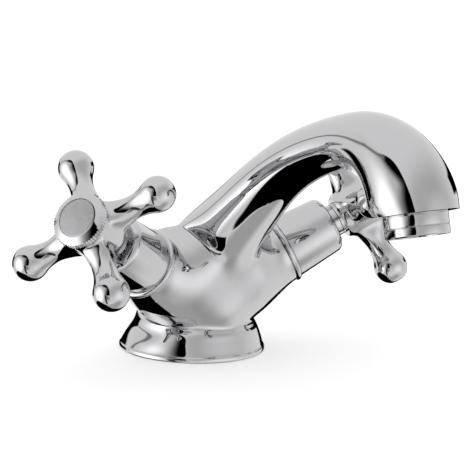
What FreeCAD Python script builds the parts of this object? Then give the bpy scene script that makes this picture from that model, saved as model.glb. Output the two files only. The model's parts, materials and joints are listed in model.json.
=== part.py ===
import FreeCAD, Part
import math
import os

from FreeCAD import Vector

# Two-handle basin mixer: one hollow casting with a swan-neck spout, and two quarter-turn ceramic valves
# under cross handles.  Millimetres, +Z up, origin at the middle of the foot's underside.  The spout points
# to -Y, the hot valve is on the -X side and the cold valve on the +X side.

# Foot and waist of the casting
FOOT_RADIUS = 30.0
FOOT_LIP = 2.2
SKIRT_TOP = 13.5
WAIST_RADIUS = 22.0
WAIST_HEIGHT = 10.0

# Centreline from the waist to the outlet: an arc forward, a straight neck, a long arch and a tight bend.
# Angles are measured up from the level, looking forward along the spout.
TRUNK_BEND = 51.5
NECK_ANGLE = 41.0
NECK_LENGTH = 34.4
ARCH_RADIUS = 108.5
ARCH_END_ANGLE = 10.0
OUTLET_BEND = 29.7
OUTLET_ANGLE = -75.0

# Half sizes of the spout across its centreline
NECK_RADIUS = 15.0
THROAT_RADIUS = 9.9
MOUTH_RADIUS = 16.0
RIM_RADIUS = 14.7
RIM_SHIFT = 1.0
THROAT_AT = 0.61
NECK_BROADENING = 0.12
SPOUT_WALL = 2.9

# Valve arms: both axes meet on the foot's axis, splayed forward and rising outward
HUB_HEIGHT = 20.0
VALVE_SPLAY = 21.5
VALVE_RISE = 28.5
ARM_LENGTH = 41.2
ARM_RADIUS = 13.6
ARM_DEPTH = 31.0
ARM_ROOT_RADIUS = 17.4
ARM_ROOT_SHIFT = 1.5
ARM_BLEND = 10.0

# Valve socket in the casting, measured inward from the arm's end face
VALVE_THREAD_RADIUS = 10.4
VALVE_THREAD_LENGTH = 12.0
CHAMBER_RADIUS = 9.7
SEAT_DEPTH = 21.5
SEAT_HOLE_RADIUS = 3.6
WATERWAY_RADIUS = 3.4

# Trim and shroud, measured outward from the arm's end face
TRIM_RADIUS = 14.5
TRIM_HEIGHT = 2.8
SHROUD_BASE_RADIUS = 13.4
SHROUD_TOP_RADIUS = 12.0
SHROUD_HEIGHT = 24.5
SHROUD_SHOULDER = 3.0
SHROUD_WALL = 1.5
COLLAR_RADIUS = 6.8
COLLAR_HEIGHT = 2.7

# Bonnet of the valve
BONNET_NOSE_RADIUS = 9.2
BONNET_CAVITY_RADIUS = 7.6
BONNET_FLANGE_RADIUS = 11.8
BONNET_HEX = 18.0
GLAND_RADIUS = 7.55
GLAND_TOP = 24.0

# Running fits
SHAFT_RADIUS = 4.0
SHAFT_PLAY = 0.03
FACE_PLAY = 0.05
SEAT_PLAY = 0.05

# Cross handle
HUB_BACK = 28.8
BALL_PLANE = 38.0
HUB_FRONT = 46.1
CAP_FRONT = 50.0
HUB_RADIUS = 10.4
BALL_CIRCLE = 28.5
BALL_RADIUS = 6.95
ARM_WAIST_RADIUS = 4.5
HOT_TURN = 36.2
COLD_TURN = 74.4
SPLINE_TEETH = 20
MILLED_TEETH = 60
DISC_RADIUS = 7.3

# Aerator below the spout's rim
AERATOR_RADIUS = 11.5
AERATOR_HEIGHT = 8.0
AERATOR_THREAD_RADIUS = 10.9
AERATOR_THREAD_LENGTH = 9.5
AERATOR_FLAT = 10.2
AERATOR_FLAT_TURN = 20.0

# Connections under the foot
BLOCK_RADIUS = 19.0
BLOCK_HEIGHT = 13.0
INLET_SPREAD = 10.0
INLET_HOLE_RADIUS = 4.55
STUD_HOLE_RADIUS = 3.4
HOLE_LENGTH = 10.0

X = Vector(1, 0, 0)
Z = Vector(0, 0, 1)
ORIGIN = Vector(0, 0, 0)


def save(name, shape):
    """Write one piece, or a group of alike pieces, under its node name."""
    shape.exportStep(os.path.join("parts", name + ".step"))
    print(name, "valid" if shape.isValid() else "NOT VALID", len(shape.Solids), round(shape.Volume, 1))


def cylinder(radius, low, high):
    """A cylinder on the local Z axis between two heights."""
    return Part.makeCylinder(radius, high - low, Vector(0, 0, low), Z)


def ring(inner, outer, low, high):
    """A flat ring on the local Z axis."""
    return cylinder(outer, low, high).cut(cylinder(inner, low - 1, high + 1))


def turned(outline):
    """A solid of revolution about local Z from straight steps between (radius, height) points."""
    points = [Vector(radius, 0, height) for radius, height in outline]
    face = Part.Face(Part.makePolygon(points + points[:1]))
    return face.revolve(ORIGIN, Z, 360)


def turned_wire(edges):
    """A solid of revolution about local Z from a closed run of edges in the XZ plane."""
    return Part.Face(Part.Wire(edges)).revolve(ORIGIN, Z, 360)


def line(first, second):
    """An edge in the XZ plane between two (radius, height) points."""
    return Part.makeLine(Vector(first[0], 0, first[1]), Vector(second[0], 0, second[1]))


def arc(first, middle, last):
    """An arc in the XZ plane through three (radius, height) points."""
    return Part.Arc(*[Vector(radius, 0, height) for radius, height in (first, middle, last)]).toShape()


def curve(points):
    """A smooth curve in the XZ plane through (radius, height) points."""
    spline = Part.BSplineCurve()
    spline.interpolate([Vector(radius, 0, height) for radius, height in points])
    return spline.toShape()


def star(tips, roots, teeth, low, high):
    """A toothed prism on the local Z axis with as many tips as teeth."""
    points = []
    for index in range(2 * teeth):
        radius = tips if index % 2 == 0 else roots
        angle = math.pi * index / teeth
        points.append(Vector(radius * math.cos(angle), radius * math.sin(angle), low))
    face = Part.Face(Part.makePolygon(points + points[:1]))
    return face.extrude(Z * (high - low))


def frame(origin, axis, turn=0.0):
    """Placement whose local Z is the axis and whose local X lies level, then turned about the axis."""
    level = axis.cross(Z).normalize()
    across = axis.cross(level)
    matrix = FreeCAD.Matrix(
        level.x, across.x, axis.x, origin.x,
        level.y, across.y, axis.y, origin.y,
        level.z, across.z, axis.z, origin.z)
    spin = FreeCAD.Placement(ORIGIN, FreeCAD.Rotation(Z, turn))
    return FreeCAD.Placement(matrix).multiply(spin)


def placed(shape, placement):
    """A copy of a shape moved from its local frame."""
    return shape.transformed(placement.toMatrix(), True)


def blend(share):
    """Smooth step from 0 to 1."""
    share = max(0.0, min(1.0, share))
    return share * share * (3 - 2 * share)


# Centreline of trunk and spout

def arc_length(radius, first, last):
    """Length of a centreline arc between two angles."""
    return radius * math.radians(first - last)


TRUNK_LENGTH = arc_length(TRUNK_BEND, 90, NECK_ANGLE)
ARCH_LENGTH = arc_length(ARCH_RADIUS, NECK_ANGLE, ARCH_END_ANGLE)
OUTLET_LENGTH = arc_length(OUTLET_BEND, ARCH_END_ANGLE, OUTLET_ANGLE)
SPOUT_LENGTH = NECK_LENGTH + ARCH_LENGTH + OUTLET_LENGTH


def along_arc(start, radius, first, length):
    """Point and angle after a length of a centreline arc that starts at a point and an angle."""
    angle = first - math.degrees(length / radius)
    low, high = math.radians(angle), math.radians(first)
    step = Vector(0, radius * (math.sin(low) - math.sin(high)), radius * (math.cos(low) - math.cos(high)))
    return start + step, angle


def centre(length):
    """Point and angle of the centreline at a length from the waist."""
    point, angle = along_arc(Vector(0, 0, WAIST_HEIGHT), TRUNK_BEND, 90, min(length, TRUNK_LENGTH))
    rest = length - TRUNK_LENGTH
    if rest <= 0:
        return point, angle
    run = min(rest, NECK_LENGTH)
    slope = math.radians(NECK_ANGLE)
    point = point + Vector(0, -math.cos(slope), math.sin(slope)) * run
    rest -= NECK_LENGTH
    if rest <= 0:
        return point, NECK_ANGLE
    point, angle = along_arc(point, ARCH_RADIUS, NECK_ANGLE, min(rest, ARCH_LENGTH))
    rest -= ARCH_LENGTH
    if rest <= 0:
        return point, angle
    return along_arc(point, OUTLET_BEND, ARCH_END_ANGLE, rest)


def half_size(length):
    """Half width and half thickness of the casting across the centreline."""
    share = (length - TRUNK_LENGTH) / SPOUT_LENGTH
    if share < 0:
        trunk = length / TRUNK_LENGTH
        slope = -2 * (NECK_RADIUS - THROAT_RADIUS) / (THROAT_AT * SPOUT_LENGTH) * TRUNK_LENGTH
        half = WAIST_RADIUS + (NECK_RADIUS - WAIST_RADIUS) * blend(trunk) + slope * (trunk ** 3 - trunk ** 2)
        return half * (1 + NECK_BROADENING * blend(trunk)), half
    narrowing = max(0.0, 1 - share / THROAT_AT) ** 2
    widening = blend((share - THROAT_AT) / (1 - THROAT_AT))
    half = (THROAT_RADIUS + (NECK_RADIUS - THROAT_RADIUS) * narrowing
            + (MOUTH_RADIUS - THROAT_RADIUS) * widening)
    return half * (1 + NECK_BROADENING * (1 - blend(share / 0.6))), half


def upward(angle):
    """Direction square to the centreline, on its outer side."""
    return Vector(0, math.sin(math.radians(angle)), math.cos(math.radians(angle)))


def section(middle, angle, half_width, half_thickness):
    """A closed oval across the centreline."""
    points = []
    for index in range(12):
        turn = math.tau * index / 12
        across = X * (half_width * math.cos(turn))
        points.append(middle + across + upward(angle) * (half_thickness * math.sin(turn)))
    oval = Part.BSplineCurve()
    oval.interpolate(points, PeriodicFlag=True)
    return Part.Wire(oval.toShape())


RIM_POINT, RIM_ANGLE = centre(TRUNK_LENGTH + SPOUT_LENGTH)
OUTLET_AXIS = Vector(0, -math.cos(math.radians(RIM_ANGLE)), math.sin(math.radians(RIM_ANGLE)))
RIM_CENTRE = RIM_POINT + upward(RIM_ANGLE) * RIM_SHIFT


# Valve axes

def valve_axis(side):
    """Outward direction of a valve: side is -1 for hot and +1 for cold."""
    rise = math.radians(VALVE_RISE)
    splay = math.radians(VALVE_SPLAY)
    return Vector(side * math.cos(rise) * math.cos(splay), -math.cos(rise) * math.sin(splay), math.sin(rise))


def valve_frame(side, turn=0.0):
    """Placement of a valve's local frame: its origin is the middle of the arm's end face."""
    axis = valve_axis(side)
    return frame(Vector(0, 0, HUB_HEIGHT) + axis * ARM_LENGTH, axis, turn)


OUTLET_FRAME = frame(RIM_POINT, OUTLET_AXIS)


# Casting

def foot():
    """Round foot: a rolled lip and a cove up to the waist."""
    lip_top = (FOOT_RADIUS - 0.4, FOOT_LIP)
    waist = (WAIST_RADIUS - 0.8, SKIRT_TOP)
    skirt = curve([lip_top, (FOOT_RADIUS - 1.6, 4.3), (FOOT_RADIUS - 4.0, 8.2), waist])
    return turned_wire([
        line((0, 0), (FOOT_RADIUS - 0.6, 0)),
        arc((FOOT_RADIUS - 0.6, 0), (FOOT_RADIUS, 1.1), lip_top),
        skirt,
        line(waist, (0, SKIRT_TOP)),
        line((0, SKIRT_TOP), (0, 0))])


def trunk_and_spout():
    """Oval sections along the centreline from the waist to the outlet's rim."""
    total = TRUNK_LENGTH + SPOUT_LENGTH
    steps = 18
    lengths = [(total - 5.0) * index / steps for index in range(steps + 1)]
    sections = []
    for length in lengths:
        point, angle = centre(length)
        sections.append(section(point, angle, *half_size(length)))
    sections.append(section(RIM_CENTRE, RIM_ANGLE, RIM_RADIUS, RIM_RADIUS))
    return Part.makeLoft(sections, True, False)


def valve_arm(side):
    """Arm from the shroud's seat into the trunk, fuller towards the front of the body."""
    steps = 3
    sections = []
    for index in range(steps + 1):
        share = index / steps
        radius = ARM_RADIUS + (ARM_ROOT_RADIUS - ARM_RADIUS) * share
        middle = Vector(side * ARM_ROOT_SHIFT * share, 0, -ARM_DEPTH * share)
        sections.append(Part.Wire(Part.makeCircle(radius, middle, Z)))
    return placed(Part.makeLoft(sections, True, False), valve_frame(side))


def valve_socket(side):
    """Thread, chamber and seat hole that a valve's bonnet screws into."""
    socket = cylinder(VALVE_THREAD_RADIUS, -VALVE_THREAD_LENGTH, 1)
    socket = socket.fuse(cylinder(CHAMBER_RADIUS, -SEAT_DEPTH, -VALVE_THREAD_LENGTH))
    socket = socket.fuse(cylinder(SEAT_HOLE_RADIUS, -SEAT_DEPTH - 3, -SEAT_DEPTH))
    return placed(socket, valve_frame(side))


def bored(first, second, radius):
    """A round drilling between two points."""
    run = second - first
    return Part.makeCylinder(radius, run.Length, first, run)


def waterways(side):
    """Drillings from an inlet to a valve seat and from its chamber to the spout."""
    axis = valve_axis(side)
    hub = Vector(0, 0, HUB_HEIGHT)
    inlet = Vector(side * INLET_SPREAD, 0, BLOCK_HEIGHT - 0.5)
    seat = hub + axis * (ARM_LENGTH - SEAT_DEPTH - 1.5)
    chamber = hub + axis * (ARM_LENGTH - SEAT_DEPTH + 6.0)
    mixing, _ = centre(TRUNK_LENGTH * 0.98)
    return bored(inlet, seat, WATERWAY_RADIUS).fuse(bored(chamber, mixing, WATERWAY_RADIUS))


def spout_bore():
    """The waterway along the centreline, from the mixing point to the aerator's thread."""
    first = TRUNK_LENGTH * 0.85
    last = TRUNK_LENGTH + SPOUT_LENGTH - AERATOR_THREAD_LENGTH + 1.0
    steps = 9
    sections = []
    for index in range(steps + 1):
        length = first + (last - first) * index / steps
        point, angle = centre(length)
        inner = min(half_size(length)[1], THROAT_RADIUS + 2.0) - SPOUT_WALL
        sections.append(section(point, angle, inner, inner))
    return Part.makeLoft(sections, True, False)


def rounded_joins(solid, radius):
    """Blend every edge where two curved faces meet."""
    edges = []
    for edge in solid.Edges:
        faces = solid.ancestorsOfType(edge, Part.Face)
        if len(faces) == 2 and not any(isinstance(face.Surface, Part.Plane) for face in faces):
            edges.append(edge)
    return solid.makeFillet(radius, edges)


def body_casting():
    """The whole casting, blended, hollowed and tapped."""
    solid = trunk_and_spout().fuse(valve_arm(-1)).fuse(valve_arm(1))
    solid = rounded_joins(solid, ARM_BLEND).fuse(foot())
    hollows = [valve_socket(-1), valve_socket(1), waterways(-1), waterways(1), spout_bore()]
    hollows.append(placed(cylinder(AERATOR_THREAD_RADIUS, -AERATOR_THREAD_LENGTH, 5), OUTLET_FRAME))
    hollows.append(cylinder(BLOCK_RADIUS + SEAT_PLAY, -1, BLOCK_HEIGHT + SEAT_PLAY))
    hollows.append(ring(23.95, 28.05, -1, 1.25))
    return solid.cut(hollows)


def inlet_block():
    """Brass block in the foot with two inlet threads and the stud's thread."""
    block = cylinder(BLOCK_RADIUS, 0, BLOCK_HEIGHT)
    for side in (-1, 1):
        place = X * (side * INLET_SPREAD)
        block = block.cut(Part.makeCylinder(INLET_HOLE_RADIUS, HOLE_LENGTH, place))
        block = block.cut(Part.makeCylinder(WATERWAY_RADIUS, BLOCK_HEIGHT + 1, place))
    return block.cut(cylinder(STUD_HOLE_RADIUS, 0, HOLE_LENGTH))


def base_gasket():
    """Rubber ring between the foot and the deck."""
    return ring(24.0, 28.0, 0.1, 1.2)


# Aerator, in the outlet's frame: local Z points out of the spout

def aerator_housing():
    """Threaded shell with a plain collar and two spanner flats."""
    shell = turned([
        (9.6, -8.0), (AERATOR_THREAD_RADIUS - SEAT_PLAY, -8.0), (AERATOR_THREAD_RADIUS - SEAT_PLAY, 0.05),
        (AERATOR_RADIUS, 0.05), (AERATOR_RADIUS, 4.5), (AERATOR_RADIUS - 0.25, 4.6),
        (AERATOR_RADIUS - 0.25, 4.8), (AERATOR_RADIUS, 4.9), (AERATOR_RADIUS, AERATOR_HEIGHT - 0.4),
        (AERATOR_RADIUS - 0.4, AERATOR_HEIGHT), (8.8, AERATOR_HEIGHT), (8.8, 6.3), (9.6, 6.3)])
    for turn in (AERATOR_FLAT_TURN, AERATOR_FLAT_TURN + 180):
        flat = Part.makeBox(5, 30, 5, Vector(AERATOR_FLAT, -15, 4.85))
        flat.rotate(ORIGIN, Z, turn)
        shell = shell.cut(flat)
    return shell


def pierced(disc, radius, rows, pitch):
    """A disc with rows of holes in rings about its middle hole."""
    low, high = disc.BoundBox.ZMin - 1, disc.BoundBox.ZMax + 1
    holes = [cylinder(radius, low, high)]
    for row in range(1, rows + 1):
        for index in range(6 * row):
            angle = math.tau * index / (6 * row)
            place = Vector(pitch * row * math.cos(angle), pitch * row * math.sin(angle), low)
            holes.append(Part.makeCylinder(radius, high - low, place))
    return disc.cut(holes)


def aerator_insert():
    """Jet insert that breaks the stream into small streams."""
    return pierced(cylinder(9.5, -6.4, 6.2), 1.2, 2, 3.5)


def aerator_screen():
    """Fine screen above the insert."""
    return pierced(cylinder(9.5, -7.6, -7.1), 0.8, 3, 2.5)


def aerator_washer():
    """Rubber washer between the housing and the spout."""
    return ring(8.6, 10.7, -AERATOR_THREAD_LENGTH, -8.0)


# Valve pieces that stay put, in a valve's frame

def headwork_body():
    """Brass bonnet: nose with side windows, thread, flange, hexagon and gland."""
    bottom = -SEAT_DEPTH + 0.6
    top_of_cavity = -9.6
    thread = VALVE_THREAD_RADIUS - SEAT_PLAY
    shaft = SHAFT_RADIUS + SHAFT_PLAY
    bonnet = turned([
        (BONNET_CAVITY_RADIUS, bottom), (BONNET_NOSE_RADIUS, bottom),
        (BONNET_NOSE_RADIUS, -VALVE_THREAD_LENGTH), (thread, -VALVE_THREAD_LENGTH + 0.5), (thread, 0.9),
        (BONNET_FLANGE_RADIUS, 0.9), (BONNET_FLANGE_RADIUS, 3.2), (GLAND_RADIUS, 3.2),
        (GLAND_RADIUS, GLAND_TOP), (shaft, GLAND_TOP), (shaft, top_of_cavity),
        (BONNET_CAVITY_RADIUS, top_of_cavity)])
    hexagon = star(BONNET_HEX / math.sqrt(3), BONNET_HEX / 2, 6, 3.2, 9.0)
    bonnet = bonnet.fuse(hexagon.cut(cylinder(GLAND_RADIUS - 1, 3, 10))).removeSplitter()
    window = Part.makeBox(30, 8.0, 3.6, Vector(-15, -4.0, -15.9))
    return bonnet.cut(window.cut(cylinder(BONNET_CAVITY_RADIUS - 0.5, -20, -10)))


def headwork_seal():
    """Flat seal under the bonnet's flange."""
    return ring(VALVE_THREAD_RADIUS + 0.05, BONNET_FLANGE_RADIUS, 0, 0.9)


def seat_seal():
    """Rubber ring between the lower disc and the casting's seat."""
    return ring(4.6, 7.4, -SEAT_DEPTH, -19.4)


def port(low, high, start):
    """A quarter-ring port through a ceramic disc."""
    sector = Part.makeCylinder(5.8, high - low, Vector(0, 0, low), Z, 80)
    sector = sector.cut(cylinder(1.8, low - 1, high + 1))
    return placed(sector, FreeCAD.Placement(ORIGIN, FreeCAD.Rotation(Z, start)))


def fixed_disc():
    """Lower ceramic disc with two ports."""
    disc = cylinder(7.5, -19.4, -16.0)
    return disc.cut([port(-20, -15, 5), port(-20, -15, 185)])


def thrust_washer():
    """Slip washer between the spindle's flange and the bonnet."""
    return ring(SHAFT_RADIUS + 0.1, 7.4, -10.1, -9.6)


def trim_ring():
    """Bead at the foot of the shroud."""
    inner = BONNET_FLANGE_RADIUS + 0.15
    straight = TRIM_RADIUS - TRIM_HEIGHT / 2
    return turned_wire([
        line((inner, 0), (straight, 0)),
        arc((straight, 0), (TRIM_RADIUS, TRIM_HEIGHT / 2), (straight, TRIM_HEIGHT)),
        line((straight, TRIM_HEIGHT), (inner, TRIM_HEIGHT)),
        line((inner, TRIM_HEIGHT), (inner, 0))])


def shroud():
    """Tapered barrel with a rounded shoulder and a small collar round the spindle."""
    low = TRIM_HEIGHT + FACE_PLAY
    shoulder = SHROUD_HEIGHT - SHROUD_SHOULDER
    crown = SHROUD_TOP_RADIUS - SHROUD_SHOULDER
    bulge = SHROUD_SHOULDER / math.sqrt(2)
    collar_top = SHROUD_HEIGHT + COLLAR_HEIGHT
    outline = [
        line((SHROUD_BASE_RADIUS, low), (SHROUD_TOP_RADIUS, shoulder)),
        arc((SHROUD_TOP_RADIUS, shoulder), (crown + bulge, shoulder + bulge), (crown, SHROUD_HEIGHT))]
    corners = [
        (crown, SHROUD_HEIGHT), (COLLAR_RADIUS, SHROUD_HEIGHT + 0.2), (COLLAR_RADIUS, collar_top - 0.3),
        (COLLAR_RADIUS - 0.3, collar_top), (5.6, collar_top), (5.6, GLAND_TOP + 0.4),
        (GLAND_RADIUS + SEAT_PLAY, GLAND_TOP + 0.4), (GLAND_RADIUS + SEAT_PLAY, shoulder),
        (SHROUD_TOP_RADIUS - SHROUD_WALL, shoulder - 0.5), (SHROUD_BASE_RADIUS - SHROUD_WALL, low),
        (SHROUD_BASE_RADIUS, low)]
    for first, second in zip(corners, corners[1:]):
        outline.append(line(first, second))
    return turned_wire(outline)


# Valve pieces that turn with the handle, in a valve's frame

def moving_disc():
    """Upper ceramic disc with two ports and a slot for the spindle's tongue."""
    low, high = -16.0 + FACE_PLAY, -13.0
    disc = cylinder(7.4, low, high)
    slot = Part.makeBox(9.1, 2.1, 1.5, Vector(-4.55, -1.05, high - 1.0))
    return disc.cut([port(low - 1, high + 1, 50), port(low - 1, high + 1, 230), slot])


def spindle():
    """Splined spindle with a drive flange, a tongue, two seal grooves and a clip groove."""
    flange_low, flange_high = -13.0 + FACE_PLAY, -10.1 - FACE_PLAY
    outline = [(0, flange_low), (7.4, flange_low), (7.4, flange_high), (SHAFT_RADIUS, flange_high)]
    for low, high, depth in ((2.35, 3.65, 1.02), (7.35, 8.65, 1.02), (24.5, 25.2, 0.8)):
        groove = SHAFT_RADIUS - depth
        outline += [(SHAFT_RADIUS, low), (groove, low), (groove, high), (SHAFT_RADIUS, high)]
    outline += [(SHAFT_RADIUS, 27.0), (0, 27.0)]
    tongue = Part.makeBox(9.0, 2.0, 1.5, Vector(-4.5, -1.0, flange_low - 0.8))
    spline = star(SHAFT_RADIUS - 0.1, SHAFT_RADIUS - 0.5, SPLINE_TEETH, 26.9, 36.8)
    solid = turned(outline).fuse([tongue, spline]).removeSplitter()
    return solid.cut(cylinder(2.02, 28.0, 40))


def spindle_o_rings():
    """Two seal rings in the spindle's grooves."""
    return Part.makeCompound([Part.makeTorus(3.5, 0.5, Vector(0, 0, height), Z) for height in (3.0, 8.0)])


def spindle_circlip():
    """Open retaining clip above the bonnet."""
    clip = ring(SHAFT_RADIUS - 0.78, 5.2, 24.55, 25.15)
    return clip.cut(Part.makeBox(8, 2.4, 2, Vector(0, -1.2, 24)))


def handle_arm():
    """One ball-ended arm along local X, flared where it leaves the hub."""
    tangent_angle = math.radians(130)
    start = (BALL_CIRCLE + BALL_RADIUS * math.cos(tangent_angle), BALL_RADIUS * math.sin(tangent_angle))
    flare = [
        (3.0, 8.6), (9.5, 6.8), (13.5, 5.2), (18.0, ARM_WAIST_RADIUS), (21.5, 4.85), start]
    spline = Part.BSplineCurve()
    spline.interpolate([Vector(x, y, 0) for x, y in flare])
    tip = Vector(BALL_CIRCLE + BALL_RADIUS, 0, 0)
    round_point = Vector(BALL_CIRCLE + BALL_RADIUS * math.cos(math.radians(60)),
                         BALL_RADIUS * math.sin(math.radians(60)), 0)
    ball = Part.Arc(Vector(start[0], start[1], 0), round_point, tip).toShape()
    root = Part.makeLine(Vector(3.0, 0, 0), Vector(3.0, 8.6, 0))
    axis = Part.makeLine(tip, Vector(3.0, 0, 0))
    arm = Part.Face(Part.Wire([root, spline.toShape(), ball, axis])).revolve(ORIGIN, X, 360)
    arm.translate(Z * BALL_PLANE)
    return arm


def handle_cross():
    """Hub with four ball-ended arms, a splined bore behind and a recess in front."""
    hub = turned_wire([
        line((0, HUB_BACK - 1.0), (COLLAR_RADIUS, HUB_BACK - 1.0)),
        line((COLLAR_RADIUS, HUB_BACK - 1.0), (COLLAR_RADIUS, HUB_BACK)),
        line((COLLAR_RADIUS, HUB_BACK), (HUB_RADIUS - 1.8, HUB_BACK)),
        curve([(HUB_RADIUS - 1.8, HUB_BACK), (HUB_RADIUS - 0.9, HUB_BACK + 1.4), (HUB_RADIUS, BALL_PLANE),
               (HUB_RADIUS - 0.1, HUB_FRONT)]),
        line((HUB_RADIUS - 0.1, HUB_FRONT), (0, HUB_FRONT)),
        line((0, HUB_FRONT), (0, HUB_BACK - 1.0))])
    arms = []
    for index in range(4):
        arm = handle_arm()
        arm.rotate(ORIGIN, Z, 90 * index)
        arms.append(arm)
    solid = hub.fuse(arms).removeSplitter()
    bore = star(SHAFT_RADIUS - 0.05, SHAFT_RADIUS - 0.45, SPLINE_TEETH, HUB_BACK - 3, 37.5)
    return solid.cut([bore, cylinder(2.15, 37, 41), cylinder(8.05, 40.5, 50)])


def handle_screw():
    """Slotted screw from the hub's recess into the spindle."""
    screw = cylinder(3.6, 40.5, 42.9).fuse(cylinder(2.0, 29.0, 40.5)).removeSplitter()
    return screw.cut(Part.makeBox(8, 0.9, 1.2, Vector(-4, -0.45, 41.9)))


def index_ring():
    """Bevelled ring with a milled edge, on a spigot in the hub's recess."""
    flange = HUB_FRONT + 0.05
    milled_top = flange + 1.6
    body = turned([
        (5.0, 43.2), (8.0, 43.2), (8.0, flange), (10.4, flange), (10.4, milled_top - 0.1), (10.6, milled_top),
        (DISC_RADIUS + 0.9, CAP_FRONT - 0.1), (DISC_RADIUS + 0.6, CAP_FRONT), (DISC_RADIUS + 0.05, CAP_FRONT),
        (DISC_RADIUS + 0.05, CAP_FRONT - 1.3), (5.0, CAP_FRONT - 1.3)])
    edge = star(10.9, 10.55, MILLED_TEETH, flange, milled_top)
    return body.fuse(edge.cut(cylinder(9.5, flange - 1, milled_top + 1))).removeSplitter()


def index_disc():
    """Plain satin disc in the index ring."""
    return cylinder(DISC_RADIUS, CAP_FRONT - 1.3, CAP_FRONT - 0.05)


def save_valve(name, side, turn):
    """All the pieces of one valve and its handle."""
    fixed = (headwork_body, headwork_seal, seat_seal, fixed_disc, thrust_washer, trim_ring, shroud)
    moving = (moving_disc, spindle, spindle_o_rings, spindle_circlip, handle_cross, handle_screw, index_ring,
              index_disc)
    for piece in fixed:
        save(name + "_" + piece.__name__, placed(piece(), valve_frame(side)))
    for piece in moving:
        save(name + "_" + piece.__name__, placed(piece(), valve_frame(side, turn)))


def main():
    """Build and write every piece."""
    os.makedirs("parts", exist_ok=True)
    save("body_casting", body_casting())
    save("inlet_block", inlet_block())
    save("base_gasket", base_gasket())
    for piece in (aerator_housing, aerator_insert, aerator_screen, aerator_washer):
        save(piece.__name__, placed(piece(), OUTLET_FRAME))
    save_valve("hot", -1, HOT_TURN)
    save_valve("cold", 1, COLD_TURN)


main()
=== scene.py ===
"""Looks of the two-handle basin mixer: its chromed casting, cross handles and trim in a white studio."""

import json
import logging
import math
from dataclasses import dataclass, field, replace
from enum import Enum
from typing import ClassVar

import bmesh
import bpy
from bmesh.types import BMEdge, BMesh, BMVert
from bpy.types import Material, Node, NodeSocket, Object
from mathutils import Matrix, Vector

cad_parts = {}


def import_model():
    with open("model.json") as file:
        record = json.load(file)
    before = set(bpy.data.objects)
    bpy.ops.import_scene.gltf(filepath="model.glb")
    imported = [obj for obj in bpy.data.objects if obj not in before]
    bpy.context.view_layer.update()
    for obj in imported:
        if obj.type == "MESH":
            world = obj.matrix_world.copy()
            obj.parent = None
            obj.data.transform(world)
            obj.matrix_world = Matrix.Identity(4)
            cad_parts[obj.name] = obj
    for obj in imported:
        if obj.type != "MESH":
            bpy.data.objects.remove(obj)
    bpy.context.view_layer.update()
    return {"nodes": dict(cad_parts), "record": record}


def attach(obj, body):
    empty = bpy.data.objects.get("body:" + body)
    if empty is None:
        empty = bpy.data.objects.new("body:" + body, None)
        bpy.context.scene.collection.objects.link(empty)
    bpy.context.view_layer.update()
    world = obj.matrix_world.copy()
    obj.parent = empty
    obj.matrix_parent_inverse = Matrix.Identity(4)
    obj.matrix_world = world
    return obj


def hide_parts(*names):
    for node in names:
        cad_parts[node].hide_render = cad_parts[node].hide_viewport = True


LOG = logging.getLogger("basin_mixer")
MILLIMETRE = 0.001
SHARP_ANGLE = 35.0
UPRIGHT = Vector((0, 0, 1))
WHITE = (1, 1, 1, 1)
# Where the camera lies, clockwise from +Y in degrees, and what the studio's cards stand round, in metres.
CAMERA_BEARING = 217.0
CARDS_MIDDLE = Vector((0, -0.04, 0.05))
Inputs = dict[str | int, object]
Outline = list[tuple[float, float]]
Profile = tuple[tuple[float, float, float], ...]


class Side(Enum):
    """The two valves, with the sign of X on which each one sits."""

    HOT = -1
    COLD = 1


class Relief(Enum):
    """How the fine relief of a finish runs."""

    CLOUDED = "clouded"
    TURNED = "turned"
    SPECKLED = "speckled"


class Wiring:
    """The node tree of one material, with short ways to add nodes and to join them."""

    def __init__(self, material: Material) -> None:
        """Start on a material's own tree.

        Args:
            material: The material.
        """
        material.use_nodes = True
        self.nodes = material.node_tree.nodes
        self.links = material.node_tree.links

    def feed(self, node: Node, inputs: Inputs) -> None:
        """Give a node's inputs their values and links.

        Args:
            node: The node.
            inputs: By input, a value or the socket of another node.
        """
        for name, source in inputs.items():
            if isinstance(source, NodeSocket):
                self.links.new(source, node.inputs[name])
            else:
                node.inputs[name].default_value = source

    def add(self, kind: str, inputs: Inputs, operation: str = "") -> Node:
        """Add a node.

        Args:
            kind: The shader node's type.
            inputs: By input, a value or the socket of another node.
            operation: The node's operation, where it has one.

        Returns:
            The new node.
        """
        node = self.nodes.new("ShaderNode" + kind)
        if operation:
            node.operation = operation
        self.feed(node, inputs)
        return node

    def ramp(self, angle: NodeSocket, ends: tuple[float, float], values: tuple[float, float]) -> NodeSocket:
        """Add a value that runs smoothly from one to another with an angle.

        Args:
            angle: The socket with the angle, in radians.
            ends: Where the run starts and ends, in degrees.
            values: The values there.

        Returns:
            The socket with the value.
        """
        (low, first), (high, last) = sorted(zip(ends, values))
        ramp = self.add("MapRange", {
            "Value": angle, "From Min": math.radians(low), "From Max": math.radians(high), "To Min": first,
            "To Max": last})
        ramp.interpolation_type = "SMOOTHSTEP"
        return ramp.outputs["Result"]


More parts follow.
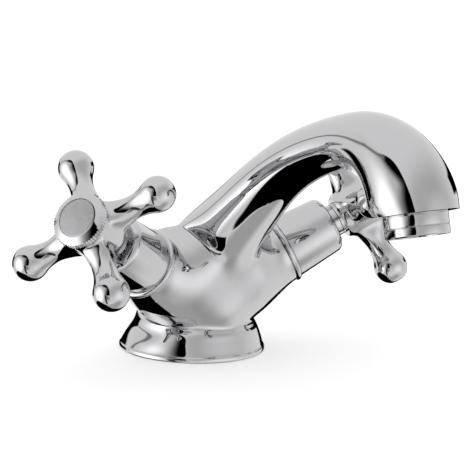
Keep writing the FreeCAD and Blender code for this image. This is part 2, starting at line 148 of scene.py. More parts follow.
@dataclass(frozen=True)
class Finish:
    """One surface finish: its colour, its gloss and its fine relief, with sizes in metres.

    The shade is how much darker its patches are, and the roughness runs between two values with them.
    """

    name: str
    colour: tuple[float, float, float]
    shade: float
    metallic: float
    roughness: tuple[float, float]
    patch: float
    relief: Relief
    relief_size: float
    relief_depth: float
    patch_range: ClassVar[tuple[float, float]] = (0.3, 0.7)

    def material(self) -> Material:
        """Make the node material of this finish, or find it.

        Returns:
            The material, shared by every piece with this finish.
        """
        found = bpy.data.materials.get(self.name)
        if found:
            return found
        material = bpy.data.materials.new(self.name)
        wiring = Wiring(material)
        low, high = self.patch_range
        place = wiring.add("TexCoord", {}).outputs["Object"]
        noise = wiring.add("TexNoise", {"Vector": place, "Scale": 1 / self.patch, "Detail": 4.0})
        patches = noise.outputs["Fac"]
        tint = wiring.add("ValToRGB", {"Fac": patches})
        dark, light = tint.color_ramp.elements
        dark.position = low
        light.position = high
        dark.color = (*[part * (1 - self.shade) for part in self.colour], 1)
        light.color = (*self.colour, 1)
        gloss = wiring.add("MapRange", {
            "Value": patches, "From Min": low, "From Max": high, "To Min": self.roughness[0],
            "To Max": self.roughness[1]})
        height = self.relief_height(wiring, place)
        bump = wiring.add("Bump", {"Strength": 1.0, "Distance": self.relief_depth, "Height": height})
        wiring.feed(wiring.nodes["Principled BSDF"], {
            "Metallic": self.metallic, "Base Color": tint.outputs["Color"],
            "Roughness": gloss.outputs["Result"], "Normal": bump.outputs["Normal"]})
        return material

    def relief_height(self, wiring: Wiring, place: NodeSocket) -> NodeSocket:
        """Make the texture that the relief follows.

        Args:
            wiring: The material's nodes.
            place: The socket with Object coordinates.

        Returns:
            The socket with the relief's height.
        """
        inputs = {"Vector": place, "Scale": 1 / self.relief_size}
        if self.relief is Relief.SPECKLED:
            return wiring.add("TexVoronoi", inputs).outputs["Distance"]
        inputs["Detail"] = 8.0 if self.relief is Relief.TURNED else 2.0
        return wiring.add("TexNoise", inputs).outputs["Fac"]

    def dress(self, piece: Object) -> None:
        """Give a piece this finish alone."""
        piece.data.materials.clear()
        piece.data.materials.append(self.material())


FINISH_OF_SLOT = {
    "chrome": Finish(
        "polished_chrome", (0.56, 0.56, 0.57), 0.02, 1.0, (0.02, 0.04), 0.03, Relief.CLOUDED, 0.04, 1e-5),
    "satin": Finish(
        "satin_disc", (0.52, 0.52, 0.53), 0.06, 1.0, (0.32, 0.42), 0.004, Relief.TURNED, 0.0006, 2e-5),
    "brass": Finish(
        "machined_brass", (0.72, 0.53, 0.23), 0.15, 1.0, (0.22, 0.36), 0.004, Relief.TURNED, 0.0008, 3e-5),
    "steel": Finish(
        "plain_steel", (0.60, 0.60, 0.60), 0.10, 1.0, (0.25, 0.40), 0.003, Relief.TURNED, 0.0006, 2e-5),
    "rubber": Finish(
        "black_rubber", (0.03, 0.03, 0.03), 0.25, 0.0, (0.60, 0.75), 0.003, Relief.SPECKLED, 0.0005, 3e-5),
    "ceramic": Finish(
        "white_ceramic", (0.90, 0.89, 0.85), 0.03, 0.0, (0.10, 0.18), 0.004, Relief.CLOUDED, 0.002, 1e-5),
    "slip_plastic": Finish(
        "white_slip_plastic", (0.85, 0.84, 0.8), 0.05, 0.0, (0.40, 0.50), 0.004, Relief.SPECKLED, 6e-4, 1e-5),
    "jet_plastic": Finish(
        "grey_jet_plastic", (0.55, 0.58, 0.60), 0.08, 0.0, (0.35, 0.45), 0.003, Relief.SPECKLED, 6e-4, 1e-5)}


def smooth_step(share: float) -> float:
    """Smooth step from 0 to 1."""
    share = max(0.0, min(1.0, share))
    return share * share * (3 - 2 * share)


def arc_length(radius: float, first: float, last: float) -> float:
    """Length of an arc between two angles in degrees."""
    return radius * math.radians(first - last)


def heading(bearing: float, rise: float) -> Vector:
    """Direction with a bearing clockwise from +Y and a rise above the level, in degrees."""
    turn, lift = math.radians(bearing), math.radians(rise)
    return Vector((math.sin(turn) * math.cos(lift), math.cos(turn) * math.cos(lift), math.sin(lift)))


def axes_matrix(across: Vector, over: Vector, along: Vector, origin: Vector) -> Matrix:
    """Matrix whose columns are three axes and an origin."""
    axes = Matrix((across, over, along)).transposed()
    return Matrix.Translation(origin) @ axes.to_4x4()


def axis_placement(axis: Vector, origin: Vector) -> Matrix:
    """Frame whose Z runs along an axis and whose X is level."""
    level = axis.cross(UPRIGHT).normalized()
    return axes_matrix(level, axis.cross(level), axis, origin)


def linked(name: str, mesh: BMesh) -> Object:
    """Turn a finished mesh into an object of the scene.

    Args:
        name: The object's name.
        mesh: The mesh, in metres.

    Returns:
        The object, at the origin.
    """
    data = bpy.data.meshes.new(name)
    mesh.to_mesh(data)
    mesh.free()
    piece = bpy.data.objects.new(name, data)
    bpy.context.scene.collection.objects.link(piece)
    return piece


def linked_piece(name: str, mesh: BMesh, placement: Matrix) -> Object:
    """Put a mesh in millimetres in its place in metres and link it as an object.

    Args:
        name: The piece's name.
        mesh: The finished mesh, in millimetres in its own frame.
        placement: Where that frame lies in the mixer's frame, in millimetres.

    Returns:
        The object, at the origin, with its place in its mesh.
    """
    bmesh.ops.transform(mesh, matrix=Matrix.Scale(MILLIMETRE, 4) @ placement, verts=mesh.verts)
    bmesh.ops.recalc_face_normals(mesh, faces=mesh.faces)
    for face in mesh.faces:
        face.smooth = True
    piece = linked(name, mesh)
    piece.data.set_sharp_from_angle(angle=math.radians(SHARP_ANGLE))
    return piece


def fitted(piece: Object, node: str, body: str, slot: str) -> None:
    """Put a piece in the place of a CAD node, on its body and in its finish.

    Args:
        piece: The new piece.
        node: The CAD node that it stands for.
        body: The body that it rides on.
        slot: The record's material slot.
    """
    FINISH_OF_SLOT[slot].dress(piece)
    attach(piece, body)
    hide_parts(node)
    LOG.info("%s replaces %s on %s", piece.name, node, body)


@dataclass(frozen=True)
class Ring:
    """One ring of a cage, in millimetres.

    The crease is how sharp its edge stays, from 0 to 1. On a branch, sag and lean shift the ring, and tilt
    and shear slant it along and across the branch.
    """

    radius: float
    height: float
    crease: float = 0.0
    sag: float = 0.0
    lean: float = 0.0
    tilt: float = 0.0
    shear: float = 0.0

    def mirrored(self, side: Side) -> "Ring":
        """This ring as it stands on one side of the mixer."""
        return replace(self, lean=side.value * self.lean, shear=side.value * self.shear)

    def level(self, belly: float = 0.0) -> "Station":
        """Station of this ring, level about the upright axis."""
        size = Matrix.Diagonal((self.radius, self.radius, 1, 1))
        return Station(Matrix.Translation(UPRIGHT * self.height) @ size, self.crease, belly)


@dataclass(frozen=True)
class Station:
    """One placed ring of a bent tube, with a belly that fills its front out by a share from 0 to 1."""

    placement: Matrix
    crease: float = 0.0
    belly: float = 0.0
    broadening: ClassVar[float] = 0.6
    onset: ClassVar[float] = 0.45
    push: ClassVar[float] = 0.25

    def filled(self, depth: float) -> float:
        """Depth on a ring's front side, from 0 to 1, once the belly broadens it and pushes it out."""
        return depth ** (1 - self.broadening * self.belly ** self.onset) * (1 + self.push * self.belly)


class Cage:
    """A control mesh of rings, straight at first, that a subdivision surface rounds off."""

    def __init__(self, segments: int, stations: list[Station]) -> None:
        """Make a straight tube with one ring at each whole height, creased as its stations say.

        Args:
            segments: How many points each ring has.
            stations: The rings in order.
        """
        self.segments = segments
        self.stations = stations
        self.mesh = bmesh.new()
        self.crease = self.mesh.edges.layers.float.new("crease_edge")
        bmesh.ops.create_circle(self.mesh, cap_ends=False, radius=1.0, segments=segments)
        loop = list(self.mesh.edges)
        self.creased(loop, stations[0].crease)
        for station in stations[1:]:
            loop, points = self.extruded(loop)
            bmesh.ops.translate(self.mesh, verts=points, vec=UPRIGHT)
            self.creased(loop, station.crease)

    @staticmethod
    def swell(segments: int) -> float:
        """How much larger a ring of points is than the circle that it rounds off to."""
        return 6 / (4 + 2 * math.cos(math.tau / segments))

    def creased(self, loop: list[BMEdge], crease: float) -> None:
        """Set how sharp a loop's edges stay."""
        for edge in loop:
            edge[self.crease] = crease

    def extruded(self, loop: list[BMEdge]) -> tuple[list[BMEdge], list[BMVert]]:
        """Extrude a closed loop of edges in place.

        Args:
            loop: The edges of the loop.

        Returns:
            The new loop's edges and its points.
        """
        made = bmesh.ops.extrude_edge_only(self.mesh, edges=loop)["geom"]
        points = [part for part in made if isinstance(part, BMVert)]
        inside = set(points)
        edges = [part for part in made if isinstance(part, BMEdge) and inside.issuperset(part.verts)]
        return edges, points

    def opened(self, low: int, high: int, middle: float, half: float) -> list[BMEdge]:
        """Take a patch out of the straight tube.

        Args:
            low: The ring where the patch starts.
            high: The ring where it ends.
            middle: The angle of its middle, in degrees.
            half: How far it reaches to either side.

        Returns:
            The edges round the opening.
        """
        patch = []
        for face in self.mesh.faces:
            centre = face.calc_center_median()
            angle = math.degrees(math.atan2(centre.y, centre.x)) - middle + half
            if low < centre.z < high and angle % 360 < 2 * half:
                patch.append(face)
        chosen = set(patch)
        border = [
            edge for face in patch for edge in face.edges
            if sum(other in chosen for other in edge.link_faces) == 1]
        bmesh.ops.delete(self.mesh, geom=patch, context="FACES")
        return border

    def bend(self) -> None:
        """Put every ring of the straight tube at its station."""
        nearly_flat = 1e-6
        swell = self.swell(self.segments)
        for point in self.mesh.verts:
            station = self.stations[round(point.co.z)]
            if -point.co.y > nearly_flat:
                point.co.y = -station.filled(-point.co.y)
            point.co = station.placement @ Vector((point.co.x * swell, point.co.y * swell, 0))

    def branch(self, loop: list[BMEdge], placement: Matrix, rings: list[Ring]) -> None:
        """Grow a round arm out of an opening.

        Args:
            loop: The edges round the opening.
            placement: The arm's own frame, with local Z along the arm.
            rings: The arm's rings in order.
        """
        local = placement.inverted()
        for ring in rings:
            loop, points = self.extruded(loop)
            places = {point: local @ point.co for point in points}
            points.sort(key=lambda point: math.atan2(places[point].y, places[point].x))
            count = len(points)
            start = sum(
                math.atan2(places[point].y, places[point].x) - math.tau * index / count
                for index, point in enumerate(points)) / count
            radius = ring.radius * self.swell(count)
            shift = Vector((ring.lean, ring.sag, ring.height))
            slant = Vector((ring.shear, 0, ring.tilt))
            for index, point in enumerate(points):
                angle = start + math.tau * index / count
                place = Vector((radius * math.cos(angle), radius * math.sin(angle), 0))
                point.co = placement @ (place + shift - math.sin(angle) * slant)
            self.creased(loop, ring.crease)

    def closed(self) -> None:
        """Close every open end with one face."""
        ends = [edge for edge in self.mesh.edges if edge.is_boundary]
        bmesh.ops.holes_fill(self.mesh, edges=ends, sides=0)

    def piece(self, name: str, placement: Matrix, levels: int) -> Object:
        """Turn the cage into a rounded object.

        Args:
            name: The piece's name.
            placement: Where the cage's frame lies, in millimetres.
            levels: How often the surface is divided.

        Returns:
            The object, with its subdivision surface applied.
        """
        piece = linked_piece(name, self.mesh, placement)
        surface = piece.modifiers.new("rounding", "SUBSURF")
        surface.levels = levels
        surface.render_levels = levels
        evaluated = piece.evaluated_get(bpy.context.evaluated_depsgraph_get())
        rounded = bpy.data.meshes.new_from_object(evaluated)
        piece.modifiers.clear()
        piece.data = rounded
        rounded.name = name
        rounded.set_sharp_from_angle(angle=math.radians(SHARP_ANGLE))
        return piece


@dataclass
class Valves:
    """Where the two valves lie: both axes meet on the foot's axis, splayed forward and rising outward."""

    hub_height: float = 20.0
    splay: float = 21.5
    rise: float = 28.5
    arm_length: float = 41.2
    turns: dict[Side, float] = field(default_factory=lambda: {Side.HOT: 36.2, Side.COLD: 74.4})

    def placement(self, side: Side, turned: bool = False) -> Matrix:
        """Frame of a valve, with its origin in the middle of the arm's end face.

        Args:
            side: Which valve.
            turned: Whether the frame turns with the handle's rest angle.

        Returns:
            The frame's matrix, in millimetres.
        """
        axis = heading(side.value * (90 + self.splay), self.rise)
        matrix = axis_placement(axis, UPRIGHT * self.hub_height + axis * self.arm_length)
        if turned:
            matrix = matrix @ Matrix.Rotation(math.radians(self.turns[side]), 4, "Z")
        return matrix


@dataclass
class Casting:
    """The chromed casting: foot, trunk, two valve arms and the swan-neck spout, in millimetres and degrees.

    foot_side gives insets from the foot's edge, heights and creases, from the rolled lip up the skirt, and
    ring_lengths says where the cage has its rings along the centreline.
    """

    valves: Valves
    foot_radius: float = 30.0
    groove_inner: float = 23.95
    groove_outer: float = 28.05
    groove_roof: float = 1.25
    foot_side: Profile = (
        (0.8, 0, 0), (0.05, 0.3, 0), (0, 1.15, 0), (0.15, 2.0, 0), (0.6, 2.4, 0.6), (1.1, 3.4, 0),
        (2.3, 5.7, 0), (4.1, 8.4, 0), (5.9, 11.2, 0))
    waist_radius: float = 22.0
    waist_height: float = 10.0
    trunk_bend: float = 51.5
    neck_angle: float = 41.0
    neck_length: float = 34.4
    arch_radius: float = 108.5
    arch_end_angle: float = 10.0
    outlet_bend: float = 29.7
    outlet_angle: float = -75.0
    neck_radius: float = 15.0
    throat_radius: float = 9.9
    mouth_radius: float = 16.0
    rim_radius: float = 14.69
    rim_shift: float = 1.0
    throat_at: float = 0.61
    round_at: float = 0.6
    neck_broadening: float = 0.12
    thread_radius: float = 10.9
    thread_length: float = 9.5
    block_radius: float = 19.05
    block_height: float = 13.05
    belly_start: float = -7.0
    belly_rise: float = 22.0
    belly_end: float = 60.0
    belly_fall: float = 34.0
    arm_root: tuple[Ring, ...] = (
        Ring(18.8, -13.0, sag=-0.6, lean=3.2, tilt=7.0, shear=1.8),
        Ring(15.0, -5.2, sag=-0.3, lean=0.8, tilt=1.2, shear=0.4),
        Ring(14.0, -2.0))
    arm_radius: float = 13.8
    seat_radius: float = 10.45
    seat_depth: float = 12.0
    chamber_radius: float = 9.75
    chamber_depth: float = 21.5
    segments: int = 16
    levels: int = 3
    front: float = 270.0
    opening_turn: float = 67.5
    opening_half: float = 45.0
    opening_rings: int = 4
    root_smoothing: int = 6
    ring_lengths: tuple[float, ...] = (
        4, 14, 24, 35, 46, 56, 64, 72, 82, 93, 104, 115, 125.5, 134.5, 142.5, 150, 157.5, 165, 171.5, 177)

    def __post_init__(self) -> None:
        """Work out the centreline's legs, each with the radius of its bend, 0 if straight, and its length."""
        self.trunk_length = arc_length(self.trunk_bend, 90, self.neck_angle)
        self.legs = (
            (self.trunk_bend, self.trunk_length), (0, self.neck_length),
            (self.arch_radius, arc_length(self.arch_radius, self.neck_angle, self.arch_end_angle)),
            (self.outlet_bend, arc_length(self.outlet_bend, self.arch_end_angle, self.outlet_angle)))
        self.total_length = sum(length for _, length in self.legs)
        self.spout_length = self.total_length - self.trunk_length

    def centre(self, length: float) -> tuple[Vector, float]:
        """Follow the centreline from the waist.

        Args:
            length: How far to follow it.

        Returns:
            The point there, and the angle up from the level in degrees.
        """
        point = UPRIGHT * self.waist_height
        angle = 90.0
        for radius, leg in self.legs:
            step = min(length, leg)
            length -= step
            if radius:
                turned = angle - math.degrees(step / radius)
                point = point + (self.upward(turned) - self.upward(angle)) * radius
                angle = turned
            else:
                point = point + self.forward(angle) * step
        return point, angle

    def half_size(self, length: float) -> tuple[float, float]:
        """Size of the casting across the centreline.

        Args:
            length: Length along the centreline from the waist.

        Returns:
            The half width and the half thickness.
        """
        share = (length - self.trunk_length) / self.spout_length
        if share < 0:
            trunk = length / self.trunk_length
            slope = -2 * (self.neck_radius - self.throat_radius) / (self.throat_at * self.spout_length)
            half = self.waist_radius + (self.neck_radius - self.waist_radius) * smooth_step(trunk)
            half += slope * self.trunk_length * (trunk ** 3 - trunk ** 2)
            return half * (1 + self.neck_broadening * smooth_step(trunk)), half
        narrowing = max(0.0, 1 - share / self.throat_at) ** 2
        widening = smooth_step((share - self.throat_at) / (1 - self.throat_at))
        half = self.throat_radius + (self.neck_radius - self.throat_radius) * narrowing
        half += (self.mouth_radius - self.throat_radius) * widening
        return half * (1 + self.neck_broadening * (1 - smooth_step(share / self.round_at))), half

    def belly(self, length: float) -> float:
        """How far the front is filled out between the arms, from 0 to 1, at a length from the waist."""
        rise = smooth_step((length - self.belly_start) / self.belly_rise)
        return rise * smooth_step((self.belly_end - length) / self.belly_fall)

    @staticmethod
    def upward(angle: float) -> Vector:
        """Direction square to the centreline, on its outer side."""
        return Vector((0, math.sin(math.radians(angle)), math.cos(math.radians(angle))))

    @staticmethod
    def forward(angle: float) -> Vector:
        """Direction along the centreline."""
        return Vector((0, -math.cos(math.radians(angle)), math.sin(math.radians(angle))))

    def across(self, middle: Vector, angle: float, half: tuple[float, float]) -> Matrix:
        """Placement of an oval ring square to the centreline, with its half width and half thickness."""
        width = Vector((half[0], 0, 0))
        return axes_matrix(width, self.upward(angle) * half[1], self.forward(angle), middle)

    def outlet_placement(self) -> Matrix:
        """Frame of the aerator: local Z points out of the spout."""
        middle, angle = self.centre(self.total_length)
        return axis_placement(self.forward(angle), middle)

    def foot_stations(self) -> list[Station]:
        """Rings of the recess under the foot, the gasket's groove, the rolled lip and the skirt.

        Returns:
            The rings from the recess to the waist.
        """
        rings = [
            Ring(self.block_radius, self.block_height, 1), Ring(self.block_radius, 0, 1),
            Ring(self.groove_inner, 0, 1), Ring(self.groove_inner, self.groove_roof, 1),
            Ring(self.groove_outer, self.groove_roof, 1), Ring(self.groove_outer, 0, 1)]
        rings += [Ring(self.foot_radius - inset, height, crease) for inset, height, crease in self.foot_side]
        return [ring.level(self.belly(ring.height - self.waist_height)) for ring in rings]

    def spout_stations(self) -> list[Station]:
        """Rings along the centreline from the waist to the outlet, and down its thread.

        Returns:
            The rings in order.
        """
        stations = []
        for length in self.ring_lengths:
            placement = self.across(*self.centre(length), self.half_size(length))
            stations.append(Station(placement, 0, self.belly(length)))
        middle, angle = self.centre(self.total_length)
        rim = middle + self.upward(angle) * self.rim_shift
        deep = middle - self.forward(angle) * self.thread_length
        thread = self.thread_radius
        for place, radius in ((rim, self.rim_radius), (middle, thread), (deep, thread)):
            stations.append(Station(self.across(place, angle, (radius, radius)), 1))
        return stations

    def arm_rings(self, side: Side) -> list[Ring]:
        """Rings of a valve arm from its full root to its end face, and down its stepped socket.

        Args:
            side: Which valve's arm.

        Returns:
            The rings in order.
        """
        root = [ring.mirrored(side) for ring in self.arm_root]
        seat, chamber = self.seat_radius, self.chamber_radius
        return root + [
            Ring(self.arm_radius, 0, 1), Ring(seat, 0, 1), Ring(seat, -self.seat_depth, 1),
            Ring(chamber, -self.seat_depth, 1), Ring(chamber, -self.chamber_depth, 1)]

    def build(self) -> Object:
        """Model the casting.

        Returns:
            The casting's object.
        """
        foot = self.foot_stations()
        cage = Cage(self.segments, foot + self.spout_stations())
        low, high = len(foot), len(foot) + self.opening_rings
        openings = {}
        for side in Side:
            middle = self.front + side.value * self.opening_turn
            openings[side] = cage.opened(low, high, middle, self.opening_half)
        cage.bend()
        for side, loop in openings.items():
            root = list({point for edge in loop for point in edge.verts})
            cage.branch(loop, self.valves.placement(side), self.arm_rings(side))
            for _ in range(self.root_smoothing):
                bmesh.ops.smooth_vert(
                    cage.mesh, verts=root, factor=0.5, use_axis_x=True, use_axis_y=True, use_axis_z=True)
        cage.closed()
        return cage.piece("casting", Matrix.Identity(4), self.levels)


@dataclass
class Turned:
    """A piece turned on a lathe from a closed outline of (radius, height) points."""

    outline: Outline
    steps: int = 96
    edge_break: float = 0.12
    sharp_angle: float = 25.0

    def mesh(self) -> BMesh:
        """Turn the outline and break its sharp edges.

        Returns:
            The turned mesh, in millimetres about local Z.
        """
        mesh = bmesh.new()
        points = [mesh.verts.new((radius, 0, height)) for radius, height in self.outline]
        for first, second in zip(points, points[1:] + points[:1]):
            mesh.edges.new((first, second))
        bmesh.ops.spin(
            mesh, geom=list(mesh.verts) + list(mesh.edges), cent=(0, 0, 0), axis=UPRIGHT, angle=math.tau,
            steps=self.steps, use_merge=True)
        bmesh.ops.remove_doubles(mesh, verts=mesh.verts, dist=1e-4)
        bmesh.ops.dissolve_degenerate(mesh, edges=mesh.edges, dist=1e-5)
        bmesh.ops.recalc_face_normals(mesh, faces=mesh.faces)
        limit = math.radians(self.sharp_angle)
        sharp = [edge for edge in mesh.edges if len(edge.link_faces) == 2 and edge.calc_face_angle() > limit]
        if sharp and self.edge_break:
            bmesh.ops.bevel(
                mesh, geom=sharp, offset=self.edge_break, offset_type="OFFSET", affect="EDGES", segments=3,
                profile=0.5, material=-1, clamp_overlap=True)
        return mesh


def rounded_corner(x: float, y: float, radius: float, first: float, last: float, steps: int) -> Outline:
    """Points of an arc about (x, y) in an outline, between two angles in degrees."""
    turns = [math.radians(first + (last - first) * index / steps) for index in range(steps + 1)]
    return [(x + radius * math.cos(turn), y + radius * math.sin(turn)) for turn in turns]


@dataclass
class ValveTrim:
    """The bead and the tapered shroud over one valve, in millimetres."""

    valves: Valves
    trim_radius: float = 14.5
    trim_height: float = 2.8
    trim_bore: float = 11.95
    base_radius: float = 13.4
    top_radius: float = 12.0
    height: float = 24.5
    shoulder: float = 3.0
    wall: float = 1.5
    roof_drop: float = 0.5
    crown_rise: float = 0.1
    collar_radius: float = 6.8
    collar_bore: float = 5.6
    collar_height: float = 2.7
    gland_radius: float = 7.6
    gland_top: float = 24.4
    play: float = 0.05

    def bead_outline(self) -> Outline:
        """Outline of the bead.

        Returns:
            The outline's points.
        """
        half = self.trim_height / 2
        bead = rounded_corner(self.trim_radius - half, half, half, -90, 90, steps=12)
        return [(self.trim_bore, 0)] + bead + [(self.trim_bore, self.trim_height)]

    def shroud_outline(self) -> Outline:
        """Outline of the shroud, with a rounded shoulder and a small collar.

        Returns:
            The outline's points.
        """
        low = self.trim_height + self.play
        shoulder = self.height - self.shoulder
        collar_top = self.height + self.collar_height
        crown = rounded_corner(self.top_radius - self.shoulder, shoulder, self.shoulder, 0, 90, steps=8)
        return [(self.base_radius, low)] + crown + [
            (self.collar_radius, self.height + self.crown_rise), (self.collar_radius, collar_top),
            (self.collar_bore, collar_top), (self.collar_bore, self.gland_top),
            (self.gland_radius, self.gland_top), (self.gland_radius, shoulder),
            (self.top_radius - self.wall, shoulder - self.roof_drop), (self.base_radius - self.wall, low)]

    def build(self, side: Side) -> None:
        """Model and dress the bead and the shroud of one valve.

        Args:
            side: Which valve.
        """
        name = side.name.lower()
        placement = self.valves.placement(side)
        bead = linked_piece(name + "_bead", Turned(self.bead_outline()).mesh(), placement)
        fitted(bead, name + "_trim_ring", "body", "chrome")
        barrel = linked_piece(name + "_barrel", Turned(self.shroud_outline()).mesh(), placement)
        fitted(barrel, name + "_shroud", "body", "chrome")


@dataclass
class CrossHandle:
    """A cross handle with four ball-ended arms, its bevelled index ring and its plain disc, in millimetres.

    hub_side gives insets from the hub's radius, heights from the balls' plane and creases, and the arms open
    between two rings of the hub. arm_neck gives an arm's radii with their distances from the hub's axis. A
    ball's cage is larger than the ball by ball_swell, across and along the arm.
    """

    valves: Valves
    bore_radius: float = 4.05
    bore_top: float = 37.5
    back: float = 28.8
    skirt: float = 27.4
    ball_plane: float = 38.0
    front: float = 46.1
    cap_front: float = 50.0
    collar_radius: float = 6.8
    hub_radius: float = 10.4
    hub_side: Profile = (
        (1.7, -9.2, 0.8), (0.9, -7.9, 0), (0.35, -6.2, 0), (0.1, -3.1, 0), (0, 0, 0), (0, 3.1, 0),
        (0.05, 6.0, 0), (0.1, 8.1, 1))
    recess_radius: float = 8.05
    recess_floor: float = 40.5
    arm_openings: tuple[int, int] = (6, 10)
    arm_half_turn: float = 30.0
    arm_neck: Outline = field(default_factory=lambda: [(5.5, 13.0), (4.65, 16.0), (4.5, 18.8), (4.85, 21.6)])
    ball_circle: float = 28.5
    ball_radius: float = 6.95
    ball_swell: tuple[float, float] = (1.02, 1.025)
    ball_angles: tuple[int, ...] = (128, 106, 84, 62, 40, 19)
    segments: int = 24
    levels: int = 2
    teeth: int = 60
    milled_radius: float = 10.9
    milled_height: float = 2.3
    milled_depth: float = 0.5
    ring_bore: float = 5.0
    ring_seat: float = 8.0
    ring_back: float = 43.2
    bevel_end: tuple[float, float] = (0.9, 0.1)
    bevel_flat: float = 0.6
    disc_radius: float = 7.3
    disc_depth: float = 1.3
    disc_edge: tuple[float, float] = (0.2, 0.1)
    play: float = 0.05

    def hub_rings(self) -> list[Ring]:
        """Rings of the hub from its bore over its side to its recess.

        Returns:
            The rings in order.
        """
        rings = [
            Ring(self.bore_radius, self.bore_top, 1), Ring(self.bore_radius, self.skirt, 1),
            Ring(self.collar_radius, self.skirt, 1), Ring(self.collar_radius, self.back, 1)]
        for inset, rise, crease in self.hub_side:
            rings.append(Ring(self.hub_radius - inset, self.ball_plane + rise, crease))
        return rings + [Ring(self.recess_radius, height, 1) for height in (self.front, self.recess_floor)]

    def arm_rings(self) -> list[Ring]:
        """Rings of an arm from the hub along its waist and over its ball.

        Returns:
            The rings in order.
        """
        rings = [Ring(radius, reach) for radius, reach in self.arm_neck]
        across, along = self.ball_swell
        for angle in self.ball_angles:
            turn = math.radians(angle)
            reach = self.ball_circle + self.ball_radius * along * math.cos(turn)
            rings.append(Ring(self.ball_radius * across * math.sin(turn), reach))
        return rings

    def cross(self, side: Side) -> Object:
        """Model the hub and its four arms as one blended casting.

        Args:
            side: Which valve's handle.

        Returns:
            The cross's object.
        """
        quarter_turns = (0, 90, 180, 270)
        cage = Cage(self.segments, [ring.level() for ring in self.hub_rings()])
        openings = [cage.opened(*self.arm_openings, turn, self.arm_half_turn) for turn in quarter_turns]
        cage.bend()
        for degrees, loop in zip(quarter_turns, openings):
            turn = math.radians(degrees)
            along = Vector((math.cos(turn), math.sin(turn), 0))
            placement = axes_matrix(UPRIGHT, along.cross(UPRIGHT), along, UPRIGHT * self.ball_plane)
            cage.branch(loop, placement, self.arm_rings())
        cage.closed()
        return cage.piece(side.name.lower() + "_cross", self.valves.placement(side, True), self.levels)

    def ring_mesh(self) -> BMesh:
        """Turn the index ring and mill its edge.

        Returns:
            The ring's mesh, in millimetres about local Z.
        """
        low = self.front + self.play
        seat = self.disc_radius + self.play
        floor = self.cap_front - self.disc_depth
        outline = [
            (self.ring_bore, self.ring_back), (self.ring_seat, self.ring_back), (self.ring_seat, low),
            (self.milled_radius, low), (self.milled_radius, low + self.milled_height),
            (self.disc_radius + self.bevel_end[0], self.cap_front - self.bevel_end[1]),
            (self.disc_radius + self.bevel_flat, self.cap_front), (seat, self.cap_front), (seat, floor),
            (self.ring_bore, floor)]
        mesh = Turned(outline, steps=2 * self.teeth, edge_break=0.0).mesh()
        root = self.milled_radius - self.milled_depth
        for point in mesh.verts:
            radius = math.hypot(point.co.x, point.co.y)
            place = round(math.atan2(point.co.y, point.co.x) * self.teeth / math.pi)
            if radius > root and place % 2:
                point.co.x *= root / radius
                point.co.y *= root / radius
        return mesh

    def disc_outline(self) -> Outline:
        """Outline of the plain disc in the index ring.

        Returns:
            The outline's points.
        """
        edge = self.disc_radius
        low = self.cap_front - self.disc_depth
        high = self.cap_front - self.play
        inset, drop = self.disc_edge
        return [(0, low), (edge, low), (edge, high - drop), (edge - inset, high), (0, high)]

    def build(self, side: Side) -> None:
        """Model and dress one handle.

        Args:
            side: Which valve's handle.
        """
        name = side.name.lower()
        body = name + "_handle"
        placement = self.valves.placement(side, True)
        fitted(self.cross(side), name + "_handle_cross", body, "chrome")
        bezel = linked_piece(name + "_bezel", self.ring_mesh(), placement)
        fitted(bezel, name + "_index_ring", body, "chrome")
        disc = linked_piece(name + "_plain_disc", Turned(self.disc_outline()).mesh(), placement)
        fitted(disc, name + "_index_disc", body, "satin")


@dataclass
class Aerator:
    """The aerator's shell below the spout's rim, with a split line and two spanner flats, in millimetres."""

    casting: Casting
    radius: float = 11.5
    height: float = 8.0
    bore_radius: float = 9.6
    thread_radius: float = 10.85
    thread_length: float = 8.0
    mouth_radius: float = 8.8
    ledge_height: float = 6.3
    split: float = 4.7
    split_depth: float = 0.3
    split_width: tuple[float, float] = (0.2, 0.1)
    chamfer: float = 0.4
    flat: float = 10.2
    flat_turn: float = 20.0
    flat_start: float = 0.12
    edge_break: float = 0.08
    play: float = 0.05

    def outline(self) -> Outline:
        """Outline of the shell.

        Returns:
            The outline's points.
        """
        edge = self.radius
        outer, inner = self.split_width
        bottom = edge - self.split_depth
        return [
            (self.bore_radius, -self.thread_length), (self.thread_radius, -self.thread_length),
            (self.thread_radius, self.play), (edge, self.play), (edge, self.split - outer),
            (bottom, self.split - inner), (bottom, self.split + inner), (edge, self.split + outer),
            (edge, self.height - self.chamfer), (edge - self.chamfer, self.height),
            (self.mouth_radius, self.height), (self.mouth_radius, self.ledge_height),
            (self.bore_radius, self.ledge_height)]

    def build(self) -> None:
        """Model and dress the shell."""
        mesh = Turned(self.outline(), edge_break=self.edge_break).mesh()
        turn = math.radians(self.flat_turn)
        across = Vector((math.cos(turn), math.sin(turn), 0))
        for point in mesh.verts:
            reach = point.co.dot(across)
            if point.co.z > self.split + self.flat_start and abs(reach) > self.flat:
                point.co -= across * (reach - math.copysign(self.flat, reach))
        shell = linked_piece("aerator_shell", mesh, self.casting.outlet_placement())
        fitted(shell, "aerator_housing", "body", "chrome")


